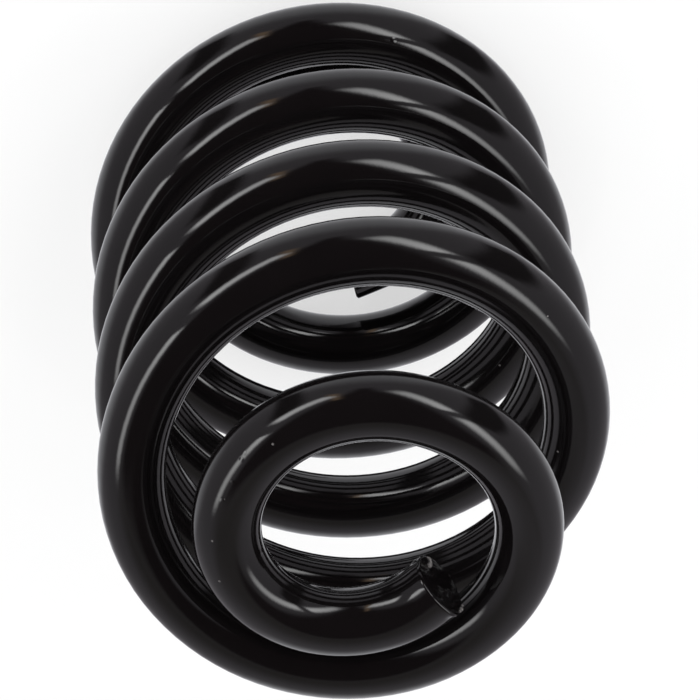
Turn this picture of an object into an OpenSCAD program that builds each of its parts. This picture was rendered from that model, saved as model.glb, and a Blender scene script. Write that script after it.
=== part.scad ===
// Suspension coil spring with a small ring at each end, wound right-handed from one round wire.
// The spring stands on its lower end: the axis is Z, and Z = 0 is the seat under the lower ring.
// Lengths are in millimetres and angles in degrees, counterclockwise from +X seen from above.

/* [Wire] */
// Diameter of the round wire, with its coating
wire_d = 16; // [12:0.5:18]
// Width of the edge that is broken around each cut end
cut_edge = 0.6; // [0.3:0.1:1.5]

/* [Coils] */
// Outside diameter of the body coils
coil_d = 122; // [112:1:150]
// Free length over both ends
free_length = 171; // [150:1:230]
// Turns of wire from one cut end to the other
turns = 6.11; // [5.5:0.01:7]
// Direction in which the upper cut end lies
upper_cut_angle = 131.5; // [0:0.5:359.5]

/* [Upper end] */
// Outside diameter of the upper end ring
upper_ring_d = 71.5; // [66:0.5:84]
// How far the centre of the upper ring lies off the axis
upper_ring_shift = 4.3; // [0:0.1:8]
// Direction of that shift, measured along the wire from the upper cut end
upper_shift_turn = 149; // [0:0.5:359.5]
// Turns at the radius of the upper ring
upper_ring_turns = 0.41; // [0.1:0.01:0.7]
// Turns over which the wire widens from the upper ring to the coils
upper_spread_turns = 1; // [0.8:0.01:1.4]
// Turns that lie flat against the upper seat
upper_flat_turns = 0.68; // [0.5:0.01:0.75]
// Turns over which the wire takes up the pitch of the coils
upper_lead_turns = 0.22; // [0.1:0.01:0.5]
// How far the upper cut leans from square to the wire
upper_cut_slant = 8; // [0:1:12]
// Side of the wire that is cut back most, turned up from the outside of the coil
upper_cut_side = 30; // [0:5:355]

/* [Lower end] */
// Outside diameter of the lower end ring
lower_ring_d = 70.5; // [68:0.5:80]
// How far the centre of the lower ring lies off the axis
lower_ring_shift = 5.9; // [0:0.1:8]
// Direction of that shift, measured back along the wire from the lower cut end
lower_shift_turn = 141; // [0:1:359]
// Turns at the radius of the lower ring
lower_ring_turns = 0.05; // [0:0.01:0.1]
// Turns over which the wire narrows from the coils to the lower ring
lower_spread_turns = 1.45; // [1.3:0.01:1.6]
// Turns that lie flat against the lower seat
lower_flat_turns = 0.6; // [0.5:0.01:0.65]
// Turns over which the wire loses the pitch of the coils
lower_lead_turns = 1.19; // [0.8:0.01:1.3]

/* [Fineness] */
// Sides of the wire's section, a multiple of four
wire_sides = 20; // [12:4:20]
// Stations along one turn, a multiple of four
turn_steps = 48; // [36:4:48]

/* [Hidden] */

wire_r = wire_d / 2;
coil_r = coil_d / 2 - wire_r;
upper_ring_r = upper_ring_d / 2 - wire_r;
lower_ring_r = lower_ring_d / 2 - wire_r;

// Turns at which the radius and the pitch start to change on the way to the lower end
lower_spread_start = turns - lower_ring_turns - lower_spread_turns;
lower_lead_start = turns - lower_flat_turns - lower_lead_turns;

// The pitch of the body coils follows from the free length
climbing_turns = turns - upper_flat_turns - lower_flat_turns - (upper_lead_turns + lower_lead_turns) / 2;
pitch = (free_length - wire_d) / climbing_turns;

// The rings are shifted along these level directions
lower_cut_angle = upper_cut_angle - 360 * turns;
upper_shift = upper_ring_shift * heading(upper_cut_angle - upper_shift_turn);
lower_shift = lower_ring_shift * heading(lower_cut_angle + lower_shift_turn);

// Share of a spread over which its slope builds up, and again dies away
soft_share = 0.35;
// Half the length of wire, in turns, over which its direction is measured
probe = 0.001;

function heading(angle) = [cos(angle), sin(angle), 0];
function unit(v) = v / norm(v);

// From 0 to 1 along a straight slope with rounded ends
function spread(t) =
    let (knee = 2 * soft_share * (1 - soft_share))
    t <= 0 ? 0
    : t >= 1 ? 1
    : t < soft_share ? t * t / knee
    : t > 1 - soft_share ? 1 - (1 - t) * (1 - t) / knee
    : (t - soft_share / 2) / (1 - soft_share);

// Climb under a slope that swells from 0 to 1 as a cosine wave, and then stays 1
function climb(t) =
    t <= 0 ? 0
    : t >= 1 ? t - 1 / 2
    : t / 2 - sin(180 * t) / (2 * PI);

// How far the wire has gone down, in turns of full pitch, at u turns from the upper cut end
function descent(u) =
    upper_lead_turns * climb((u - upper_flat_turns) / upper_lead_turns)
    - lower_lead_turns * climb((u - lower_lead_start) / lower_lead_turns);

// Centre of the wire at u turns from the upper cut end
function wire_centre(u) =
    let (
        in_upper = 1 - spread((u - upper_ring_turns) / upper_spread_turns),
        in_lower = spread((u - lower_spread_start) / lower_spread_turns),
        r = coil_r + in_upper * (upper_ring_r - coil_r) + in_lower * (lower_ring_r - coil_r),
        z = free_length - wire_r - pitch * descent(u)
    )
    r * heading(upper_cut_angle - 360 * u) + in_upper * upper_shift + in_lower * lower_shift + [0, 0, z];

function wire_direction(u) = unit(wire_centre(u + probe) - wire_centre(u - probe));

// Slope of the upper cut, which dies away along the wire so that no two stations meet
slant_turns = 0.1;
function slant(u) = tan(upper_cut_slant) * max(0, 1 - u / slant_turns);

// One ring of section points: the first points away from the axis, the others follow round the wire
function section(u, r) =
    let (
        along = wire_direction(u),
        outward = unit(cross([0, 0, 1], along)),
        up = cross(along, outward)
    )
    [for (i = [0 : wire_sides - 1])
        let (
            angle = 360 * i / wire_sides,
            cut_back = r * cos(angle - upper_cut_side) * slant(u)
        )
        wire_centre(u) + r * (cos(angle) * outward + sin(angle) * up) + cut_back * along];

// Stations fall on fixed directions, so that the coils reach their full width along X and Y
step_angle = 360 / turn_steps;
upper_edge_turns = cut_edge / (2 * PI * upper_ring_r);
lower_edge_turns = cut_edge / (2 * PI * lower_ring_r);
first_station = floor(upper_cut_angle / step_angle - 1 / 2);
last_station = ceil(lower_cut_angle / step_angle + 1 / 2);
stations = [for (k = [first_station : -1 : last_station]) (upper_cut_angle - k * step_angle) / 360];

// The wire as rings of points, from the upper cut face to the lower one
rings = concat(
    [section(0, wire_r - cut_edge), section(upper_edge_turns, wire_r)],
    [for (u = stations) section(u, wire_r)],
    [section(turns - lower_edge_turns, wire_r), section(turns, wire_r - cut_edge)]
);

// Skin through rings of equal count, closed by the first and the last ring
module swept_skin(rings) {
    count = len(rings[0]);
    side_faces = [
        for (j = [0 : len(rings) - 2], i = [0 : count - 1])
            let (a = j * count + i, b = j * count + (i + 1) % count)
            each [[a, b + count, b], [a, a + count, b + count]]
    ];
    first_cap = [for (i = [0 : count - 1]) i];
    last_cap = [for (i = [count - 1 : -1 : 0]) (len(rings) - 1) * count + i];
    polyhedron([for (ring = rings) each ring], concat([first_cap, last_cap], side_faces), convexity = 12);
}

module coil_spring() {
    color([0.08, 0.08, 0.085]) swept_skin(rings);
}

coil_spring();
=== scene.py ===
import math

import bmesh
import bpy
from mathutils import Matrix, Vector, noise


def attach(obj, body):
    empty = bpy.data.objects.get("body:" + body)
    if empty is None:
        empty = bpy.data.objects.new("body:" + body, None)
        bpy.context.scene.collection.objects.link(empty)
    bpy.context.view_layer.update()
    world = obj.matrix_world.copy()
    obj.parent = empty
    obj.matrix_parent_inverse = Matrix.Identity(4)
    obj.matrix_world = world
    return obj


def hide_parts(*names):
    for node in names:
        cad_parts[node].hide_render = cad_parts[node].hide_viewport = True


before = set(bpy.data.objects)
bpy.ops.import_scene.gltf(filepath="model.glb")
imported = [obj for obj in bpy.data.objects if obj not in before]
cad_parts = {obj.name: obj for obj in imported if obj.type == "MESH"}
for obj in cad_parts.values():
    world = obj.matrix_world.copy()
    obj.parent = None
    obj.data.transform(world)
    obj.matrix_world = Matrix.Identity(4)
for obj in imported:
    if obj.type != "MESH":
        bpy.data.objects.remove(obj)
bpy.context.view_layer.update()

mm = 0.001

# The wire's path, with the sizes of the CAD part, in millimetres and turns from the upper cut end
wire = {
    "diameter": 16.0,
    "coilDiameter": 122.0,
    "freeLength": 171.0,
    "turns": 6.11,
    "upperCutAngle": 131.5,  # degrees, counterclockwise from +X
    "upperRingDiameter": 71.5,
    "upperRingShift": (4.3, -17.5),  # distance off the axis, and its direction
    "upperRingTurns": 0.41,
    "upperSpreadTurns": 1.0,
    "upperFlatTurns": 0.68,
    "upperLeadTurns": 0.22,
    "lowerRingDiameter": 70.5,
    "lowerRingShift": (5.9, 232.9),
    "lowerRingTurns": 0.05,
    "lowerSpreadTurns": 1.45,
    "lowerFlatTurns": 0.6,
    "lowerLeadTurns": 1.19,
    "softShare": 0.35,  # of a spread, over which its slope builds up and again dies away
    "probeTurns": 0.001,  # half the length over which the direction is measured
    "stepsPerTurn": 96,
    "sidesOfWire": 56,
    "waveDepth": 0.05,  # the coat's slight wave stays inside the wire's full size
    "waveSpacing": 11,
}

wireRadius = wire["diameter"] / 2
coilRadius = wire["coilDiameter"] / 2 - wireRadius
upperRadius = wire["upperRingDiameter"] / 2 - wireRadius
lowerRadius = wire["lowerRingDiameter"] / 2 - wireRadius


def heading(angle):
    turned = math.radians(angle)
    return Vector((math.cos(turned), math.sin(turned), 0))


def spread(t):  # 0 to 1 along a straight slope with rounded ends
    soft = wire["softShare"]
    knee = 2 * soft * (1 - soft)
    if t <= 0:
        return 0.0
    if t >= 1:
        return 1.0
    if t < soft:
        return t * t / knee
    if t > 1 - soft:
        return 1 - (1 - t) ** 2 / knee
    return (t - soft / 2) / (1 - soft)


def climb(t):  # distance gone down while the slope swells from 0 to 1
    if t <= 0:
        return 0.0
    if t >= 1:
        return t - 0.5
    return t / 2 - math.sin(math.pi * t) / (2 * math.pi)


upperLead, lowerLead = wire["upperLeadTurns"], wire["lowerLeadTurns"]
lowerLeadStart = wire["turns"] - wire["lowerFlatTurns"] - lowerLead
lowerSpreadStart = wire["turns"] - wire["lowerRingTurns"] - wire["lowerSpreadTurns"]
climbingTurns = (wire["turns"] - wire["upperFlatTurns"] - wire["lowerFlatTurns"]
                 - (upperLead + lowerLead) / 2)
pitch = (wire["freeLength"] - wire["diameter"]) / climbingTurns
upperShift = heading(wire["upperRingShift"][1]) * wire["upperRingShift"][0]
lowerShift = heading(wire["lowerRingShift"][1]) * wire["lowerRingShift"][0]
print("wire path set: pitch", round(pitch, 2), "mm")


def wireCentre(u):
    inUpper = 1 - spread((u - wire["upperRingTurns"]) / wire["upperSpreadTurns"])
    inLower = spread((u - lowerSpreadStart) / wire["lowerSpreadTurns"])
    radius = coilRadius + inUpper * (upperRadius - coilRadius) + inLower * (lowerRadius - coilRadius)
    descent = (upperLead * climb((u - wire["upperFlatTurns"]) / upperLead)
               - lowerLead * climb((u - lowerLeadStart) / lowerLead))
    level = Vector((0, 0, wire["freeLength"] - wireRadius - pitch * descent))
    return (heading(wire["upperCutAngle"] - 360 * u) * radius
            + upperShift * inUpper + lowerShift * inLower + level)


def wireAxes(u):  # along the wire, away from the spring's axis, and across both
    probe = wire["probeTurns"]
    along = (wireCentre(u + probe) - wireCentre(u - probe)).normalized()
    outward = Vector((0, 0, 1)).cross(along).normalized()
    return along, outward, along.cross(outward)


def towardSide(axes, angle):  # from the middle of the wire to a side of it
    return axes[1] * math.cos(angle) + axes[2] * math.sin(angle)


# The cut ends: the shear leaves an uneven face, and has dragged one side of the rim out and rolled
# another in. Sides are degrees round the wire, turned up from the outside of the coil
cutEnd = {
    "rimEdge": 0.4,
    "nearCut": (0.4, 0.8, 1.3, 1.8, 2.4, 3.1),  # stations, in millimetres behind the cut
    "upperSlant": 8,  # degrees that the upper cut leans, with the side that is cut back most
    "upperSlantSide": 30,
    "slantTurns": 0.1,  # over which the lean dies away along the wire
    "draggedUpper": ({"side": 56, "spread": 18, "length": 3.2, "reach": 1.1},
                     {"side": 178, "spread": 48, "length": 3.6, "reach": -0.6}),
    "draggedLower": ({"side": 31, "spread": 45, "length": 8, "reach": 1.25},
                     {"side": 31, "spread": 45, "length": 24, "reach": -1.0}),
    "faceRings": 14,
    "faceCuts": 2,
    "swell": (0.12, 5.0),  # depth and spacing
    "grain": (0.014, 0.9),
    "grainLayer": 5,  # where in the noise the grain is taken
}


def cutBack(u, radius, angle):  # how far the lean of the upper cut moves a spot into the wire
    slope = math.tan(math.radians(cutEnd["upperSlant"])) * max(0, 1 - u / cutEnd["slantTurns"])
    return radius * math.cos(angle - math.radians(cutEnd["upperSlantSide"])) * slope


def draggedOut(u, angle):  # how far the shear has moved the side of the wire
    atUpper = u < wire["turns"] / 2
    depth = 2 * math.pi * (u * upperRadius if atUpper else (wire["turns"] - u) * lowerRadius)
    moved = 0.0
    for mark in cutEnd["draggedUpper" if atUpper else "draggedLower"]:
        off = (math.degrees(angle) - mark["side"] + 180) % 360 - 180
        fade = max(0, 1 - depth / mark["length"]) ** 2
        moved += mark["reach"] * fade * math.exp(-(off / mark["spread"]) ** 2)
    return moved


def sectionRing(build, u, radius):
    axes, centre = wireAxes(u), wireCentre(u)
    ring = []
    for side in range(wire["sidesOfWire"]):
        angle = 2 * math.pi * side / wire["sidesOfWire"]
        reach = towardSide(axes, angle)
        wave = noise.noise((centre + reach * wireRadius) / wire["waveSpacing"])
        sunk = wire["waveDepth"] * (0.5 + 0.5 * wave)  # the wave runs from -1 to 1
        stretch = 1 + (draggedOut(u, angle) - sunk) / wireRadius
        point = centre + reach * radius * stretch + axes[0] * cutBack(u, radius, angle)
        ring.append(build.verts.new(point * mm))
    return ring


def bridge(build, ringA, ringB):
    count = len(ringA)
    return [build.faces.new((ringA[i], ringB[i], ringB[(i + 1) % count], ringA[(i + 1) % count]))
            for i in range(count)]


def skin(build, rings):  # joins each ring to the next
    for ringA, ringB in zip(rings, rings[1:]):
        bridge(build, ringA, ringB)


def faceRelief(x, y):  # how far a spot of a cut face stands out
    swellDepth, swellSpacing = cutEnd["swell"]
    grainDepth, grainSpacing = cutEnd["grain"]
    height = swellDepth * noise.noise(Vector((x, y, 0)) / swellSpacing)
    height += grainDepth * noise.noise(Vector((x, y, cutEnd["grainLayer"])) / grainSpacing)
    return height


def flatFace(build, u, rim):
    faces, last = [], rim
    faceRadius = wireRadius - cutEnd["rimEdge"]
    for k in range(cutEnd["faceRings"]):
        inner = sectionRing(build, u, faceRadius * (1 - k / cutEnd["faceRings"]))
        band = bridge(build, last, inner)
        faces += band if k else []  # the first band is the edge of the rim
        last = inner
    return faces + [build.faces.new(last)]


def roughen(build, faces):  # cuts the flat faces finely and raises their relief
    edges = list(dict.fromkeys(edge for face in faces for edge in face.edges))
    fine = bmesh.ops.subdivide_edges(build, edges=edges, cuts=cutEnd["faceCuts"], use_grid_fill=True)
    fineFaces = [part for part in fine["geom"] if isinstance(part, bmesh.types.BMFace)]
    for v in {v for face in fineFaces for v in face.verts}:
        spot = v.co / mm
        atUpper = (spot - wireCentre(0.0)).length <= (spot - wireCentre(wire["turns"])).length
        u, wayOut = (0.0, -1) if atUpper else (wire["turns"], 1)
        along, outward, up = wireAxes(u)
        offset = spot - wireCentre(u)
        v.co += along * wayOut * faceRelief(offset.dot(outward), offset.dot(up)) * mm


# Small marks in the coat: turns from the upper cut end, side of the wire, and radius of each
coatMarks = {
    "nibs": ((4.684, 65, 0.9), (0.512, 49, 0.8), (0.505, 55, 0.7), (0.449, 66, 0.8),
             (0.477, 66, 0.6), (0.350, 150, 1.0)),
    "pinholes": ((0.545, 69, 0.30), (0.392, 64, 0.28), (0.335, 62, 0.30), (0.452, 68, 0.20),
                 (3.975, 107, 0.28), (1.902, 126, 0.28), (1.777, 65, 0.20)),  # down to the steel
    "height": 0.04,  # as a share of the radius
    "rings": 6,
    "sides": 16,
}


def addCoatMark(build, u, side, radius):
    axes, centre = wireAxes(u), wireCentre(u)
    rings = []
    for k in range(coatMarks["rings"]):
        share = 1 - k / coatMarks["rings"]
        height = coatMarks["height"] * radius * (1 - share * share) ** 2
        ring = []
        for step in range(coatMarks["sides"]):
            turned = 2 * math.pi * step / coatMarks["sides"]
            angle = math.radians(side) + radius * share * math.sin(turned) / wireRadius
            point = (centre + towardSide(axes, angle) * (wireRadius + height)
                     + axes[0] * radius * share * math.cos(turned))
            ring.append(build.verts.new(point * mm))
        rings.append(ring)
    skin(build, rings)
    build.faces.new(rings[-1])


def onUpperCut(side, radius):  # a spot of the upper cut face
    axes = wireAxes(0.0)
    angle = math.radians(side)
    return (wireCentre(0.0) + towardSide(axes, angle) * radius
            + axes[0] * cutBack(0.0, radius, angle))


# Beads of steel on the rim of the upper cut
beads = {
    "places": ((6, 0.3), (20, 0.5), (30, 0.35)),  # side and radius
    "segments": 12,
    "rings": 8,
}


def addBead(build, side, radius):
    spot = onUpperCut(side, wireRadius - radius / 2)
    bmesh.ops.create_uvsphere(build, u_segments=beads["segments"], v_segments=beads["rings"],
                              radius=radius * mm, matrix=Matrix.Translation(spot * mm))


# The curl on the upper cut: a torn strip of steel, bent round on itself
curl = {
    "side": 217,
    "out": 5.8,
    "radius": 1.25,
    "thickness": 0.55,
    "bluntEnds": 0.04,  # share of the strip at which its thickness starts
    "ragged": 0.5,
    "raggedSpots": 6,
    "lean": 1.6,
    "openToward": 160,
    "opening": 110,
    "steps": 24,
    "sides": 12,
}


def addCurl(build):
    along, _, up = wireAxes(0.0)
    middle = onUpperCut(curl["side"], curl["out"])
    axis = (up * curl["lean"] - along).normalized()
    level = axis.cross(up).normalized()
    rise = axis.cross(level)
    rings = []
    for k in range(curl["steps"] + 1):
        share = k / curl["steps"]
        bent = curl["openToward"] + curl["opening"] / 2 + (360 - curl["opening"]) * share
        turned = math.radians(bent)
        spoke = level * math.cos(turned) + rise * math.sin(turned)
        ragged = 1 + curl["ragged"] * noise.noise(Vector((curl["raggedSpots"] * share, 0, 0)))
        fullness = math.sin(math.pi * (curl["bluntEnds"] + (1 - 2 * curl["bluntEnds"]) * share))
        thick = curl["thickness"] * ragged * math.sqrt(fullness)
        ring = []
        for step in range(curl["sides"]):
            roundStrip = 2 * math.pi * step / curl["sides"]
            point = (middle + spoke * (curl["radius"] + thick * math.cos(roundStrip))
                     + axis * thick * math.sin(roundStrip))
            ring.append(build.verts.new(point * mm))
        rings.append(ring)
    skin(build, rings)
    build.faces.new(rings[0])
    build.faces.new(rings[-1])


def buildWire():
    build = bmesh.new()
    upperEnd = [depth / (2 * math.pi * upperRadius) for depth in cutEnd["nearCut"]]
    lowerEnd = [wire["turns"] - depth / (2 * math.pi * lowerRadius)
                for depth in reversed(cutEnd["nearCut"])]
    steps = math.ceil(wire["turns"] * wire["stepsPerTurn"])
    between = [upperEnd[-1] + (lowerEnd[0] - upperEnd[-1]) * i / steps for i in range(1, steps)]
    rings = [sectionRing(build, u, wireRadius) for u in upperEnd + between + lowerEnd]
    skin(build, rings)
    roughen(build, flatFace(build, 0.0, rings[0]) + flatFace(build, wire["turns"], rings[-1]))
    for nib in coatMarks["nibs"]:
        addCoatMark(build, *nib)
    coated = len(build.faces)
    for bead in beads["places"]:
        addBead(build, *bead)
    addCurl(build)
    for pinhole in coatMarks["pinholes"]:
        addCoatMark(build, *pinhole)
    for face in list(build.faces)[coated:]:
        face.material_index = 1  # bare steel
    bmesh.ops.recalc_face_normals(build, faces=build.faces)
    mesh = bpy.data.meshes.new("coilSpringWire")
    build.to_mesh(mesh)
    build.free()
    for face in mesh.polygons:
        face.use_smooth = True
    return mesh


# Finishes. Mottle changes the colour and the roughness from the first to the second, and scales
# are spots in a metre
coat = {
    "colours": ((0.0026, 0.0021, 0.0023, 1), (0.0042, 0.0034, 0.0036, 1)),
    "roughness": (0.06, 0.10),
    "mottleScale": 90,
    "mottleDetail": 4,
    "reliefScale": 1 / (0.9 * mm),  # orange peel
    "reliefDetail": 2,
    "reliefDepth": 0.0045,
    "metallic": 0,
    "ior": 1.5,
}
bareSteel = {
    "colours": ((0.28, 0.27, 0.265, 1), (0.15, 0.14, 0.135, 1)),
    "roughness": (0.42, 0.6),
    "mottleScale": 1 / (0.45 * mm),
    "mottleDetail": 3,
    "reliefScale": 1 / (0.45 * mm),
    "reliefDetail": 3,
    "reliefDepth": 0.02,
    "metallic": 0.8,
    "ior": 1.5,
}


def newMaterial(name):
    material = bpy.data.materials.new(name)
    material.use_nodes = True
    return material, material.node_tree.nodes, material.node_tree.links


def addNoise(nodes, links, place, scale, detail):
    spots = nodes.new("ShaderNodeTexNoise")
    spots.inputs["Scale"].default_value = scale
    spots.inputs["Detail"].default_value = detail
    links.new(place.outputs["Object"], spots.inputs["Vector"])
    return spots.outputs["Fac"]


def makeFinish(name, finish):
    material, nodes, links = newMaterial(name)
    shader = nodes["Principled BSDF"]
    shader.inputs["Metallic"].default_value = finish["metallic"]
    shader.inputs["IOR"].default_value = finish["ior"]
    place = nodes.new("ShaderNodeTexCoord")
    mottle = addNoise(nodes, links, place, finish["mottleScale"], finish["mottleDetail"])
    shade = nodes.new("ShaderNodeMix")
    shade.data_type = "RGBA"
    shade.inputs["A"].default_value, shade.inputs["B"].default_value = finish["colours"]
    links.new(mottle, shade.inputs["Factor"])
    links.new(shade.outputs["Result"], shader.inputs["Base Color"])
    gloss = nodes.new("ShaderNodeMapRange")
    gloss.inputs["To Min"].default_value, gloss.inputs["To Max"].default_value = finish["roughness"]
    links.new(mottle, gloss.inputs["Value"])
    links.new(gloss.outputs["Result"], shader.inputs["Roughness"])
    relief = nodes.new("ShaderNodeBump")
    relief.inputs["Distance"].default_value = finish["reliefDepth"] * mm
    relief.inputs["Strength"].default_value = 1
    bumps = addNoise(nodes, links, place, finish["reliefScale"], finish["reliefDetail"])
    links.new(bumps, relief.inputs["Height"])
    links.new(relief.outputs["Normal"], shader.inputs["Normal"])
    return material


def addToScene(name, content):
    thing = bpy.data.objects.new(name, content)
    bpy.context.scene.collection.objects.link(thing)
    return thing


spring = addToScene("coilSpring", buildWire())
spring.data.materials.append(makeFinish("glossBlackCoat", coat))
spring.data.materials.append(makeFinish("bareSteel", bareSteel))
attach(spring, "root")
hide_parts("coil_spring")
print("spring wound:", len(spring.data.polygons), "faces")

# The camera looks down into the upper end, turned so that this end comes out at the bottom
camera = {
    "place": (-0.011186, -0.484264, 0.888214),
    "right": (-0.988015, 0.137068, 0.070984),
    "up": (-0.154021, -0.844958, -0.512157),
    "back": (-0.010222, -0.516952, 0.855942),
    "lens": 196.88,
    "sensor": 36,
    "seesFrom": 0.01,
}
photoCamera = addToScene("photoCamera", bpy.data.cameras.new("photoCamera"))
lensRight, lensUp, lensBack = (Vector(camera[k]).normalized() for k in ("right", "up", "back"))
turn = Matrix((lensRight, lensUp, lensBack)).transposed().to_4x4()
photoCamera.matrix_world = Matrix.Translation(Vector(camera["place"])) @ turn
photoCamera.data.sensor_width = camera["sensor"]
photoCamera.data.lens = camera["lens"]
photoCamera.data.clip_start = camera["seesFrom"]
bpy.context.scene.camera = photoCamera
print("camera set")

# The studio. Directions are (sideways, upwards) degrees off the photo camera's lens axis, as they
# fall in the picture, seen from the middle of the spring
studioMiddle = Vector((0, 0, 0.085))


def studioDirection(sideways, upwards):
    tilt = math.radians(math.hypot(sideways, upwards))
    turned = math.atan2(upwards, sideways)
    return (lensRight * math.sin(tilt) * math.cos(turned) + lensUp * math.sin(tilt) * math.sin(turned)
            + lensBack * math.cos(tilt))


def smooth(low, high, x):
    t = min(max((x - low) / (high - low), 0), 1)
    return t * t * (3 - 2 * t)


def mixShaders(nodes, links, share, first, second):
    mix = nodes.new("ShaderNodeMixShader")
    links.new(share, mix.inputs["Fac"])
    links.new(first, mix.inputs[1])
    links.new(second, mix.inputs[2])
    return mix.outputs["Shader"]


def paintedGlow(name, sampling):  # shines with the mesh's own colours, clear where they are clear
    material, nodes, links = newMaterial(name)
    nodes.clear()
    painted = nodes.new("ShaderNodeAttribute")
    painted.attribute_name = "glow"
    glow = nodes.new("ShaderNodeEmission")
    links.new(painted.outputs["Color"], glow.inputs["Color"])
    clear = nodes.new("ShaderNodeBsdfTransparent")
    both = mixShaders(nodes, links, painted.outputs["Alpha"], clear.outputs["BSDF"],
                      glow.outputs["Emission"])
    links.new(both, nodes.new("ShaderNodeOutputMaterial").inputs["Surface"])
    material.cycles.emission_sampling = sampling
    return material


def paintGlow(mesh, colours):
    paint = mesh.attributes.new("glow", "FLOAT_COLOR", "POINT")
    for dot, colour in zip(paint.data, colours):
        dot.color = colour


def addMirrored(name, mesh, material, lightsFloor):  # the coat mirrors it and the camera doesn't see it
    piece = addToScene(name, mesh)
    mesh.materials.append(material)
    piece.visible_camera = False
    piece.visible_diffuse = lightsFloor
    piece.visible_shadow = False
    piece.visible_transmission = False


# The tent, with the outline, softness in degrees and colour of each area in it
tent = {
    "radius": 2.2,
    "segments": 240,
    "rings": 120,
    "white": (0.90, 0.90, 0.94),
    "areas": {
        "greyCloth": (((-62, 98), (-40, 86), (0, 84), (30, 86), (60, 98), (95, 105), (120, 70),
                       (124, 20), (132, -30), (140, -60), (120, -120), (60, -145), (30, -120),
                       (-30, -118), (-60, -145), (-120, -110), (-130, -50), (-108, -22),
                       (-105, 30), (-105, 65), (-85, 92)), 15, (0.44, 0.42, 0.45)),
        "tableEdge": (((-40, -46), (40, -46), (36, -74), (0, -80), (-38, -76)), 20,
                      (0.22, 0.21, 0.20)),
        "darkRoom": (((-33, -38), (-33, -5), (-25, 13), (-14, 32), (-7, 46), (-3, 58), (4, 58),
                      (9, 46), (20, 32), (28, 14), (33, -4), (35, -22), (37, -46), (30, -58),
                      (14, -57), (2, -53), (-20, -51), (-31, -46)), 5, (0.042, 0.032, 0.034)),
        "leftGap": (((-38, 25), (-34, 36), (-34, 50), (-42, 75), (-47, 90), (-69, 90), (-62, 70),
                     (-55, 45), (-51, 30)), 5, (0.04, 0.04, 0.04)),
        "rightGap": (((49, 4), (49, 20), (56, 36), (64, 58), (69, 85), (88, 88), (92, 70),
                      (91, 50), (88, 36), (80, 20), (66, 4)), 5, (0.04, 0.04, 0.04)),
        "warmEdge": (((-20, 51), (-13, 48), (-9, 30), (-12, 29), (-16, 41)), 2.5, (1.6, 1.1, 0.7)),
    },
}


def depthInside(outline, x, y):  # how far a spot lies inside an outline, less than 0 outside
    nearest, inside = math.inf, False
    for (ax, ay), (bx, by) in zip(outline, outline[1:] + outline[:1]):
        runX, runY = bx - ax, by - ay
        share = min(max(((x - ax) * runX + (y - ay) * runY) / (runX * runX + runY * runY), 0), 1)
        nearest = min(nearest, math.hypot(x - ax - share * runX, y - ay - share * runY))
        if (ay > y) != (by > y) and x < ax + (y - ay) / runY * runX:
            inside = not inside
    return nearest if inside else -nearest


def tentShade(direction):
    tilt = math.degrees(math.acos(min(max(direction.dot(lensBack), -1), 1)))
    side, rise = direction.dot(lensRight), direction.dot(lensUp)
    level = max(math.hypot(side, rise), 1e-6)  # never 0, straight ahead
    x, y = side / level * tilt, rise / level * tilt
    shade = Vector(tent["white"])
    for outline, softness, colour in tent["areas"].values():
        share = smooth(-softness, softness, depthInside(outline, x, y))
        shade = shade.lerp(Vector(colour), share)
    return shade


def buildTent():
    build = bmesh.new()
    bmesh.ops.create_uvsphere(build, u_segments=tent["segments"], v_segments=tent["rings"],
                              radius=tent["radius"])
    mesh = bpy.data.meshes.new("studioTent")
    build.to_mesh(mesh)
    build.free()
    paintGlow(mesh, [(*tentShade((v.co - studioMiddle).normalized()), 1) for v in mesh.vertices])
    return mesh


addMirrored("studioTent", buildTent(), paintedGlow("tentGlow", "NONE"), False)
print("tent hung:", len(tent["areas"]), "areas")

# The strip lamps, with the direction, distance in metres, brightness and fading length of each end
lamps = {
    "width": 0.28,  # as a share of the distance
    "softness": 0.12,
    "rows": 40,
    "columns": 14,
    "strips": {
        "lampUpperLeft": (((-14.5, 42), 0.96, 4.6, 0.2), ((-36.8, 10), 0.34, 6.6, 0.04)),
        "lampLeft": (((-38, 0.5), 0.76, 6.7, 0.04), ((-48, -43.5), 0.47, 3.7, 0.07)),
        "lampUpperRight": (((14, 48.5), 0.81, 3.5, 0.2), ((38, 8.5), 0.60, 7.0, 0.05)),
        "lampRight": (((38.5, 2), 0.43, 6.2, 0.04), ((48.5, -49.5), 0.80, 2.4, 0.22)),
    },
}


def addLamp(name, start, end, material):
    (startSpot, startReach, startGlow, startFade), (endSpot, endReach, endGlow, endFade) = start, end
    first = studioMiddle + studioDirection(*startSpot) * startReach
    last = studioMiddle + studioDirection(*endSpot) * endReach
    length = (last - first).length
    along = (last - first) / length
    facing = ((first + last) / 2 - studioMiddle).normalized()
    across = facing.cross(along).normalized()
    rows, columns = lamps["rows"], lamps["columns"]
    spots, glows = [], []
    for row in range(rows + 1):
        share = row / rows
        reach = startReach + (endReach - startReach) * share
        glow = startGlow + (endGlow - startGlow) * share
        rowFade = smooth(0, startFade, share * length) * smooth(0, endFade, (1 - share) * length)
        for column in range(columns + 1):
            side = (column / columns - 0.5) * lamps["width"]
            sideFade = smooth(0, lamps["softness"], lamps["width"] / 2 - abs(side))
            spots.append(first + along * share * length + across * side * reach)
            glows.append((glow, glow, glow, rowFade * sideFade))
    step = columns + 1
    corners = [row * step + column for row in range(rows) for column in range(columns)]
    mesh = bpy.data.meshes.new(name)
    mesh.from_pydata([tuple(spot) for spot in spots], [],
                     [(i, i + 1, i + step + 1, i + step) for i in corners])
    paintGlow(mesh, glows)
    addMirrored(name, mesh, material, True)


lampGlow = paintedGlow("lampGlow", "FRONT_BACK")
for name, (start, end) in lamps["strips"].items():
    addLamp(name, start, end, lampGlow)
print("lamps hung:", len(lamps["strips"]))


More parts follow.
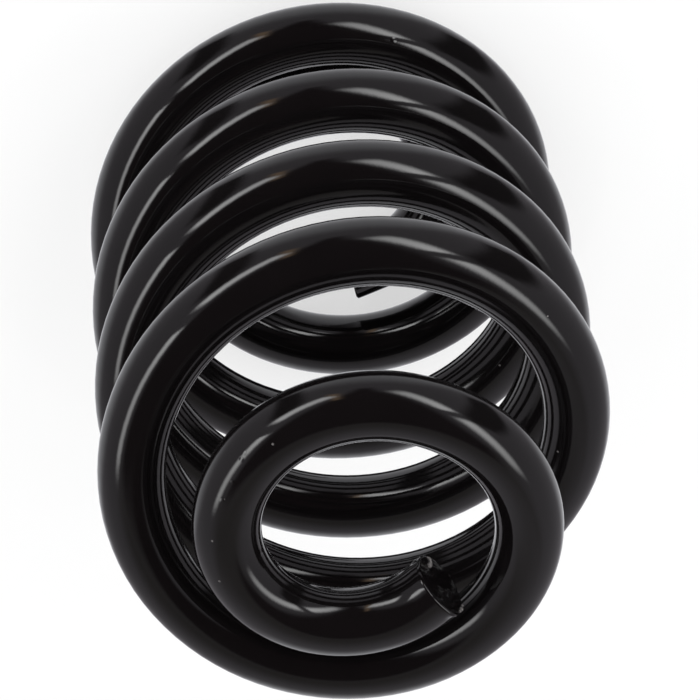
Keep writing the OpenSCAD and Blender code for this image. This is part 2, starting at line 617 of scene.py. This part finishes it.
def seenByEye(nodes, links):  # 1 for camera, mirror and see-through rays
    ray = nodes.new("ShaderNodeLightPath")
    seen = ray.outputs["Is Camera Ray"]
    for kind in ("Is Glossy Ray", "Is Transmission Ray"):
        either = nodes.new("ShaderNodeMath")
        either.operation = "MAXIMUM"
        links.new(seen, either.inputs[0])
        links.new(ray.outputs[kind], either.inputs[1])
        seen = either.outputs["Value"]
    return seen


# The floor. Its glow, for those rays only, keeps it white, and its matt paint takes the shadow
floor = {
    "size": 6.0,
    "shade": 0.98,
    "glow": 0.6,  # share of the glow in what those rays see
}


def makeFloorPaint():
    material, nodes, links = newMaterial("floorPaint")
    nodes.clear()
    matt = nodes.new("ShaderNodeBsdfDiffuse")
    matt.inputs["Color"].default_value = (floor["shade"],) * 3 + (1,)
    whiteGlow = nodes.new("ShaderNodeEmission")
    share = nodes.new("ShaderNodeMath")
    share.operation = "MULTIPLY"
    share.inputs[1].default_value = floor["glow"]
    links.new(seenByEye(nodes, links), share.inputs[0])
    both = mixShaders(nodes, links, share.outputs["Value"], matt.outputs["BSDF"],
                      whiteGlow.outputs["Emission"])
    links.new(both, nodes.new("ShaderNodeOutputMaterial").inputs["Surface"])
    return material


half = floor["size"] / 2
floorMesh = bpy.data.meshes.new("studioFloor")
floorMesh.from_pydata([(-half, -half, 0), (half, -half, 0), (half, half, 0), (-half, half, 0)],
                      [], [(0, 1, 2, 3)])
floorMesh.materials.append(makeFloorPaint())
studioFloor = addToScene("studioFloor", floorMesh)
studioFloor.visible_glossy = False  # the tent is mirrored there
print("floor laid")

# The sky lights the floor, and is white in the picture
sky = {
    "strength": 0.9,
    "seenStrength": 1,
}


def addBackground(nodes, strength):
    light = nodes.new("ShaderNodeBackground")
    light.inputs["Color"].default_value = (1, 1, 1, 1)
    light.inputs["Strength"].default_value = strength
    return light.outputs["Background"]


world = bpy.data.worlds.new("studioSky")
bpy.context.scene.world = world
world.use_nodes = True
skyNodes, skyLinks = world.node_tree.nodes, world.node_tree.links
skyNodes.clear()
skyBoth = mixShaders(skyNodes, skyLinks, seenByEye(skyNodes, skyLinks),
                     addBackground(skyNodes, sky["strength"]),
                     addBackground(skyNodes, sky["seenStrength"]))
skyLinks.new(skyBoth, skyNodes.new("ShaderNodeOutputWorld").inputs["Surface"])
bpy.context.scene.view_settings.view_transform = "Standard"
print("sky lit")
